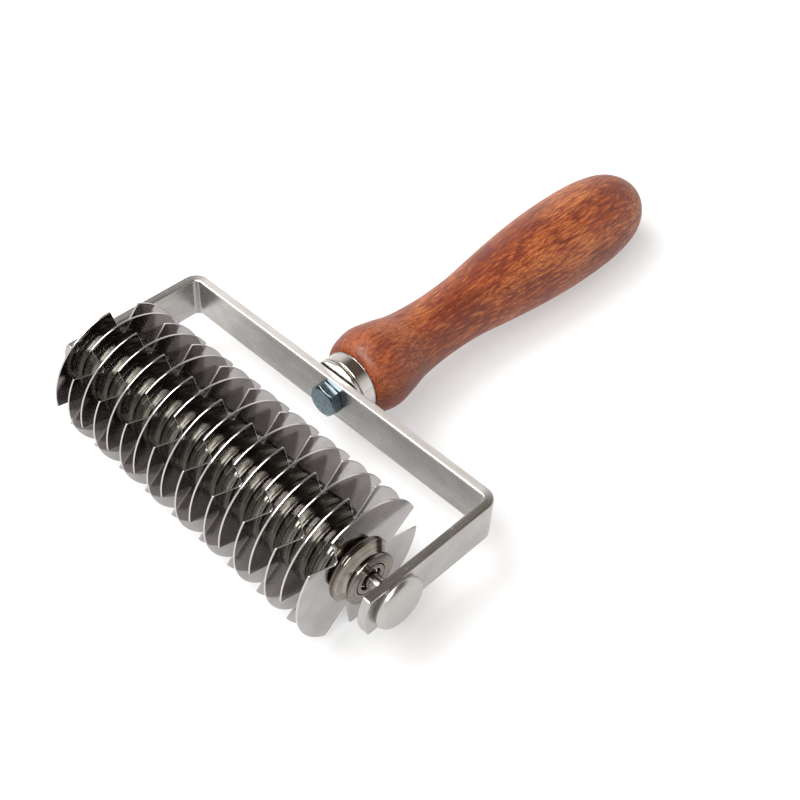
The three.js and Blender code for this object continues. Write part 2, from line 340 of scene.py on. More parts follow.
def extruded_rim(bm):
    """Extrudes a mesh's open rim. Returns the new vertices."""
    rim = [edge for edge in bm.edges if edge.is_boundary]
    return vertices_in(bmesh.ops.extrude_edge_only(bm, edges=rim)["geom"])


def faces_at(bm, axis, place):
    """Faces that lie wholly at one place along an axis."""
    return [face for face in bm.faces
            if all(abs(vertex.co["XYZ".index(axis)] - place) < WELD for vertex in face.verts)]


def mark_turning(bm, axis):
    """Stores the distance along the axis, the radius and the angle, for patterns from the lathe."""
    spoke = spoke_of(axis)
    layer = bm.verts.layers.float_vector.new("turning")
    for vertex in bm.verts:
        along = vertex.co.dot(axis)
        across = vertex.co - axis * along
        angle = math.atan2(across.z, across.dot(spoke))
        vertex[layer] = (along, across.length, angle * TURNING_PER_RADIAN)
    return bm


def linked(name, data):
    """A new object in the scene."""
    thing = bpy.data.objects.new(name, data)
    bpy.context.scene.collection.objects.link(thing)
    return thing


def as_object(name, bm, material):
    """A new object from a finished mesh."""
    mesh = bpy.data.meshes.new(name)
    bm.to_mesh(mesh)
    bm.free()
    mesh.materials.append(material)
    return linked(name, mesh)


def finish_piece(name, bm, place, body, material, stands_for):
    """Puts a finished mesh in place as a piece that rides on a body and stands for a packed node."""
    bmesh.ops.transform(bm, matrix=place, verts=bm.verts)
    piece = as_object(name, bm, material)
    piece.data.shade_smooth()
    piece.data.set_sharp_from_angle(angle=math.radians(45))
    weighted = piece.modifiers.new("Flat faces", "WEIGHTED_NORMAL")
    weighted.mode = "FACE_AREA"
    weighted.keep_sharp = True
    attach(piece, body)
    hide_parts(stands_for)


# -------- Finishes --------

class Wire:
    """A shader socket that takes arithmetic: each operator adds its Math node."""

    def __init__(self, shader, socket):
        self.shader = shader
        self.socket = socket

    def math(self, operation, *values):
        return self.shader.add("ShaderNodeMath", {"operation": operation}, dict(enumerate(values)))

    def __add__(self, other):
        return self.math("ADD", self, other)

    def __radd__(self, other):
        return self.math("ADD", other, self)

    def __sub__(self, other):
        return self.math("SUBTRACT", self, other)

    def __rsub__(self, other):
        return self.math("SUBTRACT", other, self)

    def __mul__(self, other):
        return self.math("MULTIPLY", self, other)

    def __rmul__(self, other):
        return self.math("MULTIPLY", other, self)

    def __abs__(self):
        return self.math("ABSOLUTE", self)


class Shader:
    """The nodes of a material or of the surroundings."""

    def __init__(self, owner):
        owner.use_nodes = True
        self.owner = owner
        self.tree = owner.node_tree
        self.tree.nodes.clear()

    def add(self, kind, settings=None, sockets=None, output=0):
        """Adds a node of a type, sets it up, and feeds its sockets with values or wires."""
        node = self.tree.nodes.new(kind)
        for key, value in (settings or {}).items():
            if key == "stops":
                elements = node.color_ramp.elements
                while len(elements) < len(value):
                    elements.new(1.0)
                for element, (position, shade) in zip(elements, value):
                    element.position = position
                    element.color = (*shade, 1.0)
            else:
                setattr(node, key, value)
        for key, value in (sockets or {}).items():
            if isinstance(value, Wire):
                self.tree.links.new(value.socket, node.inputs[key])
            else:
                node.inputs[key].default_value = value
        return Wire(self, node.outputs[output]) if node.outputs else None

    def split(self, vector):
        """The three numbers of a vector."""
        node = self.add("ShaderNodeSeparateXYZ", None, {"Vector": vector}).socket.node
        return [Wire(self, output) for output in node.outputs]

    def place(self, matrix, stretch=(1, 1, 1)):
        """Object coordinates measured in a piece's own frame, then stretched."""
        here = self.add("ShaderNodeTexCoord", output="Object")
        own = self.add("ShaderNodeMapping", {"vector_type": "TEXTURE"},
                       {"Vector": here, "Location": matrix.to_translation(), "Rotation": matrix.to_euler()})
        return self.add("ShaderNodeMapping", None, {"Vector": own, "Scale": stretch})

    def attribute(self, name, stretch=(1, 1, 1)):
        """A pattern that follows the surface, from the mesh's own attribute."""
        own = self.add("ShaderNodeAttribute", {"attribute_name": name}, output="Vector")
        return self.add("ShaderNodeMapping", None, {"Vector": own, "Scale": stretch})

    def noise(self, vector, detail=3, roughness=0.5):
        return self.add("ShaderNodeTexNoise", None,
                        {"Vector": vector, "Scale": 1.0, "Detail": detail, "Roughness": roughness})

    def between(self, value, low, high, bottom=0.0, top=1.0):
        """Stretches the range from low to high over bottom to top, clamped."""
        return self.add("ShaderNodeMapRange", {"interpolation_type": "SMOOTHSTEP"},
                        {"Value": value, "From Min": low, "From Max": high, "To Min": bottom, "To Max": top})

    def mix(self, share, first, second):
        """A blend of two colours, each a wire or three numbers."""
        first, second = (end if isinstance(end, Wire) else (*end, 1.0) for end in (first, second))
        return self.add("ShaderNodeMix", {"data_type": "RGBA"}, {0: share, 6: first, 7: second}, output=2)

    def shade(self, share, colour, low, high):
        """A blend of two brightnesses of one colour."""
        return self.mix(share, scaled(colour, low), scaled(colour, high))

    def bump(self, height, strength, distance):
        return self.add("ShaderNodeBump", None,
                        {"Height": height, "Strength": strength, "Distance": distance})

    def surface(self, sockets):
        """Ends the material with a Principled surface."""
        shading = self.add("ShaderNodeBsdfPrincipled", None, sockets)
        self.add("ShaderNodeOutputMaterial", None, {"Surface": shading})
        return self.owner

    def metal(self, tint, roughness, normal):
        return self.surface({"Base Color": tint, "Metallic": 1.0, "Roughness": roughness, "Normal": normal})


def new_finish(name):
    return Shader(bpy.data.materials.new(name))


def scaled(colour, factor):
    return tuple(channel * factor for channel in colour)


def colours():
    return bpy.context.scene.cutter_colours


def disc_steel():
    """Rolled sheet: a faint one-way grain, cloudy wiping marks, a few stray scratches, and a rim with a painted
    highlight and wear.
    """
    shader = new_finish("disc steel")
    grain = shader.noise(shader.attribute("sheet", (60, 60, 5200)), 4, 0.6)
    wiping = shader.noise(shader.attribute("sheet", (160, 160, 160)))
    scratch = shader.between(shader.noise(shader.attribute("sheet", (90, 3500, 240)), 2), 0.66, 0.72)
    edge = shader.add("ShaderNodeAttribute", {"attribute_name": "edge"}, output="Fac")
    tint = shader.shade(shader.between(wiping, 0.35, 0.7), colours().steel, 0.93, 1.06)
    # Painted highlight: the rim's colour is lifted to stand in for the light it catches; the extra roughness on
    # the rim is wear.
    worn = shader.mix(edge, tint, scaled(colours().steel, 1.25))
    return shader.metal(worn, 0.05 + 0.05 * wiping + 0.02 * grain + 0.06 * scratch + 0.08 * edge,
                        shader.bump(wiping + scratch * -0.1, 0.05, 0.00001))


def turned_steel(name, colour, roughness, pitch, depth):
    """Steel from the lathe: fine rings about the axle, and oily cloudiness."""
    shader = new_finish(name)
    rings = shader.noise(shader.attribute("turning", (1 / pitch, 1 / pitch, 40)), 2)
    cloud = shader.noise(shader.place(ROLLER_PLACE, (300, 300, 300)))
    clouded = shader.between(cloud, 0.35, 0.7) * 0.3 + shader.between(rings, 0.4, 0.6) * 0.7
    return shader.metal(shader.shade(clouded, colour, 0.7, 1.3), roughness + 0.04 * cloud + 0.06 * rings,
                        shader.bump(rings, 1.0, depth))


def button_steel():
    """Tumbled satin steel with small dents."""
    shader = new_finish("satin head steel")
    rings = shader.noise(shader.attribute("turning", (9000, 9000, 60)))
    speckle = shader.noise(shader.place(ROLLER_PLACE, (1800, 1800, 1800)), 4, 0.6)
    cells = shader.add("ShaderNodeTexVoronoi", None,
                       {"Vector": shader.place(ROLLER_PLACE, (420, 420, 420)), "Scale": 1.0})
    dent = shader.between(cells, 0.04, 0.12)
    tint = shader.shade(shader.between(speckle, 0.3, 0.75), colours().strip_steel, 0.95, 1.1)
    return shader.metal(tint, 0.24 + 0.08 * speckle + 0.05 * rings,
                        shader.bump(rings * 0.6 + speckle * 0.5 + dent * 0.8, 0.12, 0.00002))


def strip_steel():
    """Brushed strip: streaks along its length, scuffs, and a painted highlight on the crossbar's sawn edges."""
    shader = new_finish("brushed strip steel")
    brush = shader.noise(shader.attribute("strip", (45, 4200, 4200)), 4, 0.62)
    fine = shader.noise(shader.attribute("strip", (140, 11000, 11000)), 2)
    cloud = shader.noise(shader.attribute("strip", (70, 130, 130)))
    scuff = shader.between(shader.noise(shader.attribute("strip", (900, 500, 500)), 4), 0.62, 0.72)
    along, across = shader.split(shader.attribute("strip"))[:2]
    half = bpy.context.scene.cutter_yoke.strip_width / 2
    edge_start, edge_end = half - 0.0009, half - 0.0003
    bar_end, arm_start = 0.059, 0.066
    # Painted highlight: the crossbar's two long edges are painted much lighter, broken by draw marks, to stand in
    # for the light they catch; the arms' edges are not painted.
    on_edge = shader.between(abs(across), edge_start, edge_end)
    bright = on_edge * shader.between(abs(along), bar_end, arm_start, 1.0, 0.0)
    drawn = shader.noise(shader.attribute("strip", (20, 0, 2600)), 2)
    tint = shader.shade(shader.between(cloud + brush * 0.4, 0.5, 0.95), colours().strip_steel, 0.9, 1.12)
    # The blend below paints that highlight onto the crossbar's edges.
    worn = shader.mix(bright * shader.between(drawn, 0.3, 0.6, 0.7, 1.0), tint,
                      scaled(colours().strip_steel, 1.9))
    relief = brush + fine * 0.4 - scuff * 0.15 + drawn * on_edge * 2.5
    return shader.metal(worn, 0.18 + 0.10 * brush + 0.06 * cloud + 0.08 * scuff + 0.16 * bright,
                        shader.bump(relief, 1.0, 0.000028))


def polished_steel():
    """Ferrule and axle: polished, with faint turning rings and handling marks."""
    shader = new_finish("polished steel")
    rings = shader.noise(shader.attribute("turning", (5000, 5000, 30)), 2)
    smear = shader.noise(shader.place(YOKE_PLACE, (220, 220, 220)))
    tint = shader.shade(shader.between(smear, 0.3, 0.7), colours().polished_steel, 0.94, 1.05)
    return shader.metal(tint, 0.09 + 0.08 * smear + 0.04 * rings, shader.bump(rings, 0.07, 0.00001))


def zinc_plate():
    """Blue-white zinc: crystal mottling and turning rings on the bolt's face."""
    shader = new_finish("zinc plate")
    rings = shader.noise(shader.attribute("turning", (3600, 3600, 30)), 2)
    mottle = shader.noise(shader.place(YOKE_PLACE, (900, 900, 900)), 4, 0.6)
    tint = shader.shade(shader.between(mottle, 0.3, 0.7), colours().zinc, 0.8, 1.15)
    return shader.metal(tint, 0.2 + 0.12 * mottle + 0.05 * rings,
                        shader.bump(rings + mottle * 0.5, 0.15, 0.00002))


def brass():
    """Turned brass, dulled inside the wood."""
    shader = new_finish("insert brass")
    dull = shader.noise(shader.place(YOKE_PLACE, (700, 700, 700)))
    return shader.metal(shader.shade(dull, colours().brass, 0.7, 1.0), 0.25 + 0.2 * dull,
                        shader.bump(dull, 0.1, 0.00002))


def lacquered_wood():
    """Red-stained hardwood under lacquer: soft figure, golden streaks, dark pores, darker at the bulb."""
    shader = new_finish("lacquered wood")

    def grain(across, along, detail=3, roughness=0.5):
        return shader.noise(shader.place(YOKE_PLACE, (across, along, across)), detail, roughness)

    along = shader.split(shader.place(YOKE_PLACE))[1]
    drift = grain(55, 24)
    figure = grain(210, 60, 4, 0.6)
    streaks = grain(1300, 120, 3, 0.6)
    fleck = grain(3000, 260, 3, 0.6)
    pores = shader.between(grain(3600, 420, 2), 0.56, 0.66)
    rays = shader.between(grain(700, 2600, 2), 0.60, 0.70)
    mottle = drift * 0.22 + figure * 0.2 + streaks * 0.28 + fleck * 0.3
    body = shader.mix(shader.between(mottle, 0.43, 0.56), colours().wood_dark, colours().wood_middle)
    gold = shader.between(drift * 0.5 + streaks * 0.5, 0.43, 0.60) * shader.between(fleck, 0.34, 0.62)
    gold = gold * shader.between(along, 0.052, 0.085, 0.45, 1.0)
    golden = shader.mix(gold * 0.9, body, colours().wood_light)
    flecked = shader.mix(rays * 0.25, golden, colours().wood_light)
    blotch = shader.between(figure * 0.4 + streaks * 0.3 + fleck * 0.3, 0.42, 0.58, 0.75, 0.2)
    shaded = shader.mix(shader.between(along, 0.060, 0.100, 1.0, 0.0) * blotch, flecked,
                        colours().wood_dark)
    pored = shader.mix(pores * 0.5, shaded, scaled(colours().wood_dark, 0.8))
    return shader.surface({
        "Base Color": pored, "Roughness": 0.42 + 0.12 * figure, "Specular IOR Level": 0.25,
        "Coat Weight": 0.05 + 0.15 * drift, "Coat Roughness": 0.25, "Coat IOR": 1.5,
        "Normal": shader.bump(fleck * 0.5 - pores, 0.12, 0.00006)})


# -------- Pieces --------

def disc_blank(sizes, thickness):
    """A disc about the axle with three notches, the first towards +Y, and a bore."""
    third = FULL_TURN / 3
    root_turn = sizes.notch_root_width / 2 / sizes.notch_root
    tooth_turn = third - sizes.notch_angle
    flat = sizes.notch_root * math.cos(root_turn)
    bm = bmesh.new()

    def at(angle, radius):
        return Vector((0, radius * math.cos(angle), radius * math.sin(angle)))

    tooth_start = at(sizes.notch_angle / 2, sizes.disc_radius)
    tip_first, tip_last = arc_of_edges(bm, tooth_start, (0, 0, 0), ALONG_AXLE, tooth_turn, 56)
    bore_first, bore_last = arc_of_edges(bm, at(0, sizes.bore), (0, 0, 0), ALONG_AXLE, third, 20)
    chain(bm, tip_last, bm.verts.new(at(third - root_turn, sizes.notch_root)), bm.verts.new(at(third, flat)),
          bore_last)
    chain(bm, tip_first, bm.verts.new(at(root_turn, sizes.notch_root)), bm.verts.new(at(0, flat)),
          bore_first)
    bmesh.ops.edgeloop_fill(bm, edges=bm.edges[:])
    bmesh.ops.spin(bm, geom=everything(bm), cent=(0, 0, 0), axis=ALONG_AXLE, dvec=(0, 0, 0),
                   angle=2 * third, steps=2, use_duplicate=True)
    bmesh.ops.remove_doubles(bm, verts=bm.verts, dist=WELD)
    thickened(bm, ALONG_AXLE * thickness)
    bmesh.ops.translate(bm, vec=ALONG_AXLE * -thickness / 2, verts=bm.verts)
    return soften(bm, sizes.disc_edge, 2)


def mark_sheet(bm, thickness, shift):
    """Stores each vertex's place on the sheet, shifted so that no two discs match, and marks the rim, which gets a
    painted highlight and wear.
    """
    sheet = bm.verts.layers.float_vector.new("sheet")
    edge = bm.verts.layers.float.new("edge")
    for vertex in bm.verts:
        vertex[sheet] = vertex.co + shift
        vertex[edge] = 1.0 if abs(vertex.co.x) < thickness / 2 - WELD else 0.0
    return bm


class CUTTER_OT_discs(bpy.types.Operator):
    """Build the notched cutting discs"""

    bl_idname = "cutter.discs"
    bl_label = "Cutting discs"

    def execute(self, context):
        sizes = context.scene.cutter_roller
        material = disc_steel()
        for index in range(DISC_COUNT):
            node = f"blade_{index + 1:02d}"
            bm = disc_blank(sizes, length_of(node))
            mark_sheet(bm, length_of(node), Vector((index, index * SHEET_STEP, 0)))
            turn = (sizes.first_notch + (index % 2) * sizes.stagger
                    + sizes.stack_twist * (0.5 - index / (DISC_COUNT - 1)))
            finish_piece(f"disc_{index + 1:02d}", bm, centred_place(node) @ Matrix.Rotation(turn, 4, "X"),
                         "roller", material, node)
        return {"FINISHED"}


class CUTTER_OT_spacers(bpy.types.Operator):
    """Build the grooved spacers between the discs"""

    bl_idname = "cutter.spacers"
    bl_label = "Spacers"

    def execute(self, context):
        sizes = context.scene.cutter_roller
        # The dark spacer colour is painted shade for the narrow gaps between the discs.
        material = turned_steel("dark spacer steel", colours().dark_steel, 0.11, 0.0003, 0.0000004)
        rows = 28
        end_round = 0.00035
        for index in range(DISC_COUNT - 1):
            node = f"spacer_{index + 1:02d}"
            half = length_of(node) / 2
            outside = corner(node, "Z", True)
            outline = []
            for row in range(rows + 1):
                along = half * (2 * row / rows - 1)
                hollow = math.exp(-(along / sizes.spacer_groove_width) ** 2)
                outline.append((along, outside - sizes.spacer_groove * hollow))
            bm = spun([(-half, sizes.bore), *outline, (half, sizes.bore)], ALONG_AXLE)
            soften(mark_turning(bm, ALONG_AXLE), end_round)
            finish_piece(f"spacer_ring_{index + 1:02d}", bm, centred_place(node), "roller",
                         material, node)
        return {"FINISHED"}


class CUTTER_OT_hubs(bpy.types.Operator):
    """Build the two turned hubs at the ends of the stack"""

    bl_idname = "cutter.hubs"
    bl_label = "End hubs"

    def execute(self, context):
        sizes = context.scene.cutter_roller
        material = turned_steel("turned hub steel", colours().hub_steel, 0.12, 0.0004, 0.000001)
        for side, outward in ENDS:
            node = f"hub_{side}"
            length = length_of(node)
            flange = corner(node, "Z", True)
            neck_start = sizes.flange_thickness + sizes.cone_length
            neck_end = length - sizes.rim_thickness
            cone = turned_face(sizes.flange_thickness, flange, sizes.cone_end, sizes, sizes.cone_length)
            face = turned_face(length, sizes.rim_radius, sizes.bore, sizes)
            outline = [
                (0, sizes.bore), (0, flange), *cone, (neck_start, sizes.neck_radius),
                (neck_end, sizes.neck_radius), (neck_end, sizes.rim_radius), *face]
            bm = soften(spun(outline, ALONG_AXLE), EDGE_BREAK, 3, BLUNT)
            finish_piece(f"end_hub_{side}", mark_turning(bm, ALONG_AXLE), outward_place(node, outward),
                         "roller", material, node)
        return {"FINISHED"}


class CUTTER_OT_bearing(bpy.types.Operator):
    """Build the core tube and the bushes that turn on the axle"""

    bl_idname = "cutter.bearing"
    bl_label = "Core tube and bushes"

    def execute(self, context):
        fit = context.scene.cutter_handle.fit
        sizes = context.scene.cutter_roller
        tube_end = corner("core_tube", "X", True) - middle("core_tube")
        face = turned_face(tube_end, corner("core_tube", "Z", True), sizes.bush_radius + fit, sizes)
        outline = face + [(-along, radius) for along, radius in reversed(face)]
        tube = spun(outline, ALONG_AXLE, 64)
        soften(mark_turning(tube, ALONG_AXLE), 0.0001, 2, BLUNT)
        dark = turned_steel("core tube steel", colours().hub_steel, 0.14, 0.0003, 0.000001)
        finish_piece("core_sleeve", tube, centred_place("core_tube"), "roller", dark,
                     "core_tube")

        bright = turned_steel("bush steel", colours().polished_steel, 0.12, 0.0003, 0.000001)
        inner = context.scene.cutter_yoke.axle_radius + fit
        outer = sizes.bush_radius
        for side, outward in ENDS:
            node = f"bush_{side}"
            length = length_of(node)
            bush = spun([(0, inner), (0, outer), (length, outer), (length, inner)], ALONG_AXLE, 64)
            soften(mark_turning(bush, ALONG_AXLE), EDGE_BREAK)
            finish_piece(f"bush_sleeve_{side}", bush, outward_place(node, outward), "roller",
                         bright, node)
        return {"FINISHED"}


class CUTTER_OT_axle(bpy.types.Operator):
    """Build the axle, its button head and its riveted far end"""

    bl_idname = "cutter.axle"
    bl_label = "Axle and heads"

    def execute(self, context):
        yoke = context.scene.cutter_yoke
        end = corner("axle", "X", True)
        radius = yoke.axle_radius
        shoulder = corner("axle", "Z", True)
        outer = end - yoke.strip_thickness - context.scene.cutter_handle.fit
        inner = outer - yoke.shoulder_length
        half = [(inner, radius), (inner, shoulder), (outer, shoulder), (outer, radius), (end, radius),
                (end, 0)]
        outline = [(-along, across) for along, across in reversed(half)] + half
        axle = soften(spun(outline, ALONG_AXLE, 64, closed=False), 0.0002)
        finish_piece("axle_rod", mark_turning(axle, ALONG_AXLE), ROLLER_PLACE, "frame",
                     polished_steel(), "axle")

        satin = button_steel()
        rivet_back = corner("axle_head_far", "Z", True)
        shapes = ((yoke.button_back, yoke.button_rim, yoke.button_round),
                  (rivet_back, yoke.rivet_rim, yoke.rivet_round))
        for (side, outward), (back, rim_height, rounding) in zip(ENDS, shapes):
            node = f"axle_head_{side}"
            widest = corner(node, "Z", True)
            rim = arc_points((rim_height, widest - rounding), rounding, math.pi / 2, math.radians(14), 14)
            outline = [(0, 0), (0, back - 10 * WELD), *rim, *domed_end(*rim[-1], length_of(node), 20)]
            head = spun(outline, ALONG_AXLE, closed=False)
            finish_piece(f"button_{side}", mark_turning(head, ALONG_AXLE), outward_place(node, outward),
                         "frame", satin, node)
        return {"FINISHED"}


def domed_end(lift, radius, height, steps):
    """Profile points of a low dome, from its edge to its top on the axis."""
    shares = [step / steps for step in range(1, steps + 1)]
    return [(lift + (height - lift) * (1 - (1 - share) ** 2), radius * (1 - share)) for share in shares]


def arm_plate(sizes, inside):
    """One arm of the yoke, rounded at its end and drilled, up to where the bend starts."""
    half = sizes.strip_width / 2
    bend_start = sizes.depth - sizes.bend_radius
    end_turn = math.asin(half / sizes.end_radius)
    end_centre = (inside, sizes.end_radius - sizes.end_reach, 0)
    bm = bmesh.new()
    tip, end_corner = arc_of_edges(bm, (inside, -sizes.end_reach, 0), end_centre, ALONG_AXLE, -end_turn, 16)
    hole_first, hole_last = arc_of_edges(bm, (inside, sizes.axle_hole, 0), (inside, 0, 0), ALONG_AXLE,
                                         math.pi, 24)
    chain(bm, end_corner, bm.verts.new((inside, bend_start, half)), bm.verts.new((inside, bend_start, 0)),
          hole_first)
    chain(bm, hole_last, tip)
    bmesh.ops.edgeloop_fill(bm, edges=bm.edges[:])
    return thickened(mirrored(bm, "Z"), ALONG_AXLE * sizes.strip_thickness)


def half_crossbar(bm, sizes, bend_end):
    """Adds the crossbar from the bolt's hole to the bend."""
    plate = bmesh.new()
    half = sizes.strip_width / 2
    top, bottom = arc_of_edges(plate, (0, sizes.depth, sizes.bolt_hole), (0, sizes.depth, 0), ALONG_HANDLE,
                               math.pi, 24)
    outline = [(0, half), (bend_end, half), (bend_end, 0), (bend_end, -half), (0, -half)]
    chain(plate, top, *(plate.verts.new((x, sizes.depth, z)) for x, z in outline), bottom)
    bmesh.ops.edgeloop_fill(plate, edges=plate.edges[:])
    thickened(plate, ALONG_HANDLE * sizes.strip_thickness)
    mesh = bpy.data.meshes.new("half crossbar")
    plate.to_mesh(mesh)
    plate.free()
    bm.from_mesh(mesh)
    bpy.data.meshes.remove(mesh)


def mark_strip(bm, sizes, inside):
    """Stores how far along the strip, across it and into it each vertex lies."""
    layer = bm.verts.layers.float_vector.new("strip")
    bend_x = inside - sizes.bend_radius
    bend_y = sizes.depth - sizes.bend_radius
    mean_radius = sizes.bend_radius + sizes.strip_thickness / 2
    for vertex in bm.verts:
        x, y, z = vertex.co
        out_x = abs(x) - bend_x
        out_y = y - bend_y
        if out_x <= 0:
            along, into = abs(x), y - sizes.depth
        elif out_y >= 0:
            along = bend_x + math.atan2(out_x, out_y) * mean_radius
            into = math.hypot(out_x, out_y) - sizes.bend_radius
        else:
            along, into = bend_x + math.pi / 2 * mean_radius - out_y, abs(x) - inside
        vertex[layer] = (math.copysign(along, x), z, into)


class CUTTER_OT_yoke(bpy.types.Operator):
    """Build the yoke, bent to a U from flat strip"""

    bl_idname = "cutter.yoke"
    bl_label = "Yoke"

    def execute(self, context):
        sizes = context.scene.cutter_yoke
        inside = corner("yoke", "X", True) - sizes.strip_thickness
        bend_end = inside - sizes.bend_radius
        bend_start = sizes.depth - sizes.bend_radius
        bm = arm_plate(sizes, inside)
        section = faces_at(bm, "Y", bend_start)
        section_parts = {part for face in section for part in (*face.verts, *face.edges)}
        bmesh.ops.spin(bm, geom=section + list(section_parts), cent=(bend_end, bend_start, 0),
                       axis=(0, 0, 1), dvec=(0, 0, 0), angle=math.pi / 2, steps=20)
        half_crossbar(bm, sizes, bend_end)
        inner_walls = faces_at(bm, "X", bend_end) + faces_at(bm, "X", 0)
        bmesh.ops.delete(bm, geom=inner_walls, context="FACES_ONLY")
        bmesh.ops.remove_doubles(bm, verts=bm.verts, dist=WELD)
        sealed(mirrored(bm, "X"))
        soften(bm, sizes.edge_round, 5)
        mark_strip(bm, sizes, inside)
        finish_piece("yoke_strip", bm, YOKE_PLACE, "frame", strip_steel(), "yoke")
        return {"FINISHED"}


class CUTTER_OT_bolt(bpy.types.Operator):
    """Build the hexagon bolt that holds the handle"""

    bl_idname = "cutter.bolt"
    bl_label = "Handle bolt"

    def execute(self, context):
        sizes = context.scene.cutter_yoke
        seat = sizes.depth - context.scene.cutter_handle.fit
        front = seat - sizes.head_height
        reach = along_handle("handle_bolt", True)
        sixth = FULL_TURN / 6
        apothem = sizes.across_flats / 2
        face_radius = apothem * 0.94
        seat_radius = apothem * 0.95
        tip_chamfer = 0.0006
        chamfer_height = 0.0007
        chamfer_width = apothem / math.cos(sixth / 2) + 0.0002 - face_radius
        bm = bmesh.new()
        bmesh.ops.create_circle(bm, cap_ends=True, segments=72, radius=face_radius,
                                matrix=Matrix.Rotation(math.pi / 2, 4, "X"))
        bmesh.ops.translate(bm, vec=ALONG_HANDLE * front, verts=bm.verts)
        for vertex in extruded_rim(bm):
            angle = math.atan2(vertex.co.z, vertex.co.x)
            off_corner = (angle - sizes.bolt_turn) % sixth
            radius = apothem / math.cos(off_corner - sixth / 2)
            drop = (radius - face_radius) * (chamfer_height / chamfer_width)
            vertex.co = (radius * math.cos(angle), front + drop, radius * math.sin(angle))
        for vertex in extruded_rim(bm):
            vertex.co.y = seat
        shank = ((seat_radius, seat), (seat_radius, sizes.depth), (sizes.bolt_radius, sizes.depth),
                 (sizes.bolt_radius, reach - tip_chamfer), (sizes.bolt_radius - tip_chamfer, reach))
        for radius, along in shank:
            for vertex in extruded_rim(bm):
                angle = math.atan2(vertex.co.z, vertex.co.x)
                vertex.co = (radius * math.cos(angle), along, radius * math.sin(angle))
        bmesh.ops.edgeloop_fill(bm, edges=[edge for edge in bm.edges if edge.is_boundary])
        soften(sealed(bm), 0.00012, 2, math.radians(20))
        finish_piece("cap_bolt", mark_turning(bm, ALONG_HANDLE), YOKE_PLACE, "frame",
                     zinc_plate(), "handle_bolt")
        return {"FINISHED"}


class CUTTER_OT_ferrule(bpy.types.Operator):
    """Build the ferrule between crossbar and handle"""

    bl_idname = "cutter.ferrule"
    bl_label = "Ferrule"

    def execute(self, context):
        sizes = context.scene.cutter_handle
        start = along_handle("ferrule", False)
        end = along_handle("ferrule", True)
        hole = context.scene.cutter_yoke.bolt_hole
        outside = sizes.ferrule_radius
        inside = outside - sizes.ferrule_wall
        groove = outside - sizes.ferrule_groove
        rounding = sizes.ferrule_shoulder
        lip_end = start + sizes.ferrule_lip
        groove_end = lip_end + sizes.ferrule_groove
        lip = arc_points((start + rounding, outside - rounding), rounding, math.pi, math.pi / 2, 6)
        shoulder = arc_points((groove_end + 2 * rounding, outside - 2 * rounding), 2 * rounding, math.pi,
                              math.pi / 2, 10)
        bead = arc_points((end - sizes.ferrule_bead, outside), sizes.ferrule_bead, math.pi, 0, 10)
        floor = start + sizes.ferrule_wall
        outline = [(start, hole), *lip, (lip_end, outside), (lip_end, groove),
                   (groove_end, groove - rounding), *shoulder, *bead, (end, inside), (floor, inside),
                   (floor, hole)]
        bm = mark_turning(spun(outline, ALONG_HANDLE), ALONG_HANDLE)
        finish_piece("ferrule_cup", bm, YOKE_PLACE, "frame", polished_steel(), "ferrule")
        return {"FINISHED"}


class CUTTER_OT_insert(bpy.types.Operator):
    """Build the ridged brass insert inside the handle"""

    bl_idname = "cutter.insert"
    bl_label = "Threaded insert"

    def execute(self, context):
        sizes = context.scene.cutter_handle
        start = along_handle("handle_insert", False)
        end = along_handle("handle_insert", True)
        outside = sizes.insert_radius
        foot_radius = outside - sizes.insert_ridge
        hole = context.scene.cutter_yoke.bolt_hole
        ridges = 9
        spacing = (end - start) / ridges
        outline = [(start, hole)]
        for ridge in range(ridges):
            foot = start + ridge * spacing
            outline += [(foot, foot_radius), (foot + spacing * 0.35, outside),
                        (foot + spacing * 0.65, outside)]
        outline += [(end, foot_radius), (end, hole)]
        bm = mark_turning(spun(outline, ALONG_HANDLE, 48), ALONG_HANDLE)
        finish_piece("brass_sleeve", bm, YOKE_PLACE, "frame", brass(), "handle_insert")
        return {"FINISHED"}


class CUTTER_OT_handle(bpy.types.Operator):
    """Build the turned wooden handle"""

    bl_idname = "cutter.handle"
    bl_label = "Handle"

    def execute(self, context):
        sizes = context.scene.cutter_handle
        shoulder = along_handle("ferrule", True) + sizes.fit
        tenon_start = along_handle("handle", False)
        tenon = sizes.ferrule_radius - sizes.ferrule_wall - sizes.fit
        end = along_handle("handle", True)
        pocket = sizes.insert_radius + sizes.fit
        # Distance from the axle and radius, from the ferrule through bulb, waist and palm to the end.
        shape = [
            (shoulder, sizes.ferrule_radius), (0.0494, 0.0118), (0.0519, 0.0131), (0.0573, sizes.bulb),
            (0.064, 0.0129), (0.072, 0.0112), (0.085, sizes.waist), (0.099, 0.0109), (0.113, 0.0127),
            (0.128, 0.0144), (0.142, sizes.palm - 0.0002), (0.156, sizes.palm), (0.168, 0.015),
            (0.178, 0.013), (0.1846, 0.0092), (end - 0.0008, 0.0049), (end, 0)]
        skin = [(point.x, max(point.y, 0)) for point in smooth_through([Vector(at) for at in shape], 9)]
        outline = [(sizes.pocket_end, 0), (sizes.pocket_end, pocket), (tenon_start, pocket),
                   (tenon_start, tenon), (shoulder, tenon), *skin]
        bm = soften(spun(outline, ALONG_HANDLE, 128, closed=False), 0.0002, 2, BLUNT)
        finish_piece("turned_handle", bm, YOKE_PLACE, "frame", lacquered_wood(), "handle")
        return {"FINISHED"}


# -------- Stage --------

def soft_light(name, direction, wide, high, power, target):
    """A soft rectangular light that faces the object."""
    lamp = bpy.data.lights.new(name, "AREA")
    lamp.shape = "RECTANGLE"
    lamp.size = wide
    lamp.size_y = high
    lamp.energy = power
    light = linked(name, lamp)
    way = Vector(direction).normalized()
    light.location = target + way * LIGHT_DISTANCE
    light.rotation_euler = way.to_track_quat("Z", "Y").to_euler()
    light.visible_camera = False


